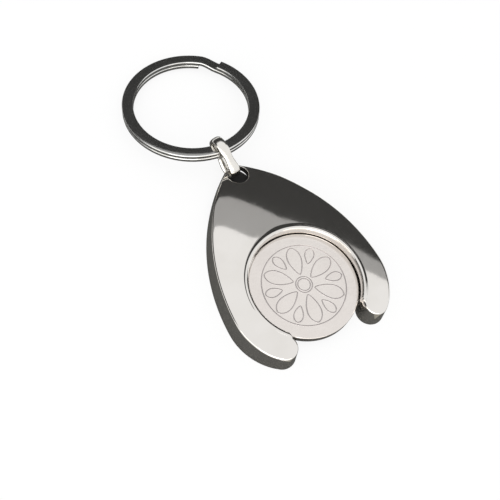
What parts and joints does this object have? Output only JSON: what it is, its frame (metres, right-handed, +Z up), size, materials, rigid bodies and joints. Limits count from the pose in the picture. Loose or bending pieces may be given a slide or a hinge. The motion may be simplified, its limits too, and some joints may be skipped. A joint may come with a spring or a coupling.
{
  "type": "coin holder keyring",
  "caption": "Wishbone-shaped metal holder for a shopping-cart token, with a round recess, a magnet under the token, a wire link and a split ring.",
  "frame": {"origin": "centre of the bounding box, on the surface that the keyring lies on", "axes": "+Z up out of the holder's front, +Y from the leg tips towards the split ring, +X across the holder"},
  "size_m": [0.033, 0.0702, 0.0075],
  "materials": {
    "bright_nickel": "polished nickel plate on a zinc casting",
    "plain_magnet": "plain plated magnet",
    "satin_nickel": "semi-bright nickel plate, lightly brushed",
    "link_nickel": "nickel plated wire",
    "ring_nickel": "nickel plated spring steel strip"
  },
  "bodies": {
    "holder": {"wishbone_holder": "bright_nickel", "holding_magnet": "plain_magnet"},
    "token": {"coin_token": "satin_nickel"},
    "link": {"connector_link": "link_nickel"},
    "ring": {"split_ring": "ring_nickel"}
  },
  "joints": [
    {"name": "coin_lift", "type": "slide", "parent": "holder", "child": "token", "axis": [0, 0, 1], "range_m": [0, 0.01]},
    {"name": "link_swing", "type": "hinge", "parent": "holder", "child": "link", "pos_m": [-0.0005, 0.00544, 0.00255], "axis": [1, 0, 0], "range_deg": [-90, 90]},
    {"name": "ring_swing", "type": "hinge", "parent": "link", "child": "ring", "pos_m": [-0.00124, 0.00841, 0.00485], "axis": [1, 0, 0], "range_deg": [-75, 75]}
  ]
}
